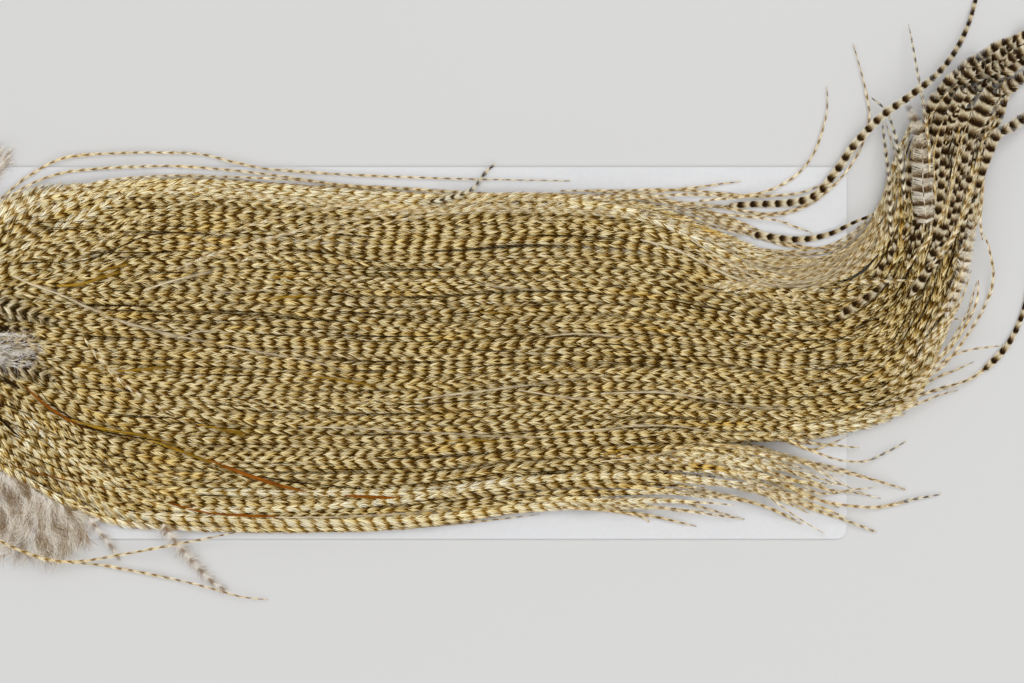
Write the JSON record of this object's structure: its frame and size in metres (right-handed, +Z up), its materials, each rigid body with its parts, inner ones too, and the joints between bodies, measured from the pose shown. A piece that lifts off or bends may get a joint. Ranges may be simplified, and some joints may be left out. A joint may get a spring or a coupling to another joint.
{
  "type": "rooster saddle hackle",
  "caption": "Saddle patch of long slender barred rooster hackles, grown from a piece of dried skin and laid on a thin backing card, the tips curling to one side.",
  "frame": {"origin": "centre of the backing card's underside", "axes": "+X along the feathers from the skin to the tips, +Y across the card, +Z up off the card"},
  "size_m": [0.3702, 0.18, 0.0141],
  "materials": {
    "barred_hackle": "glossy feather vanes, straw and cream with olive brown bars",
    "stray_hackle": "slender pale feather tips with fine brown bars",
    "dark_hackle": "long feathers barred in near black and cream",
    "down": "soft webby down, off white with grey brown bars",
    "hide": "dried skin, amber brown and slightly translucent looking",
    "card": "smooth white card, faintly cool"
  },
  "bodies": {
    "root": {"backing_card": "card", "saddle_skin": "hide", "hackle_sheaf": "barred_hackle", "down_tuft_lower": "down", "down_tuft_upper": "down", "webby_feather_01": "down", "webby_feather_02": "down", "webby_feather_03": "down", "webby_feather_04": "down", "webby_feather_05": "down", "stray_hackle_01": "stray_hackle", "stray_hackle_02": "stray_hackle", "stray_hackle_03": "stray_hackle", "stray_hackle_04": "stray_hackle", "stray_hackle_05": "stray_hackle", "stray_hackle_06": "stray_hackle", "stray_hackle_07": "stray_hackle", "stray_hackle_08": "stray_hackle", "stray_hackle_09": "stray_hackle", "stray_hackle_10": "stray_hackle", "stray_hackle_11": "stray_hackle", "stray_hackle_12": "stray_hackle", "stray_hackle_13": "stray_hackle", "stray_hackle_14": "stray_hackle", "stray_hackle_15": "stray_hackle", "stray_hackle_16": "stray_hackle", "stray_hackle_17": "stray_hackle", "stray_hackle_18": "stray_hackle", "stray_hackle_19": "stray_hackle", "stray_hackle_20": "stray_hackle", "stray_hackle_21": "stray_hackle", "stray_hackle_22": "stray_hackle", "stray_hackle_23": "stray_hackle", "stray_hackle_24": "stray_hackle", "stray_hackle_25": "stray_hackle", "stray_hackle_26": "stray_hackle", "dark_hackle_01": "dark_hackle", "dark_hackle_02": "dark_hackle", "dark_hackle_03": "dark_hackle", "dark_hackle_04": "dark_hackle"}
  },
  "joints": []
}
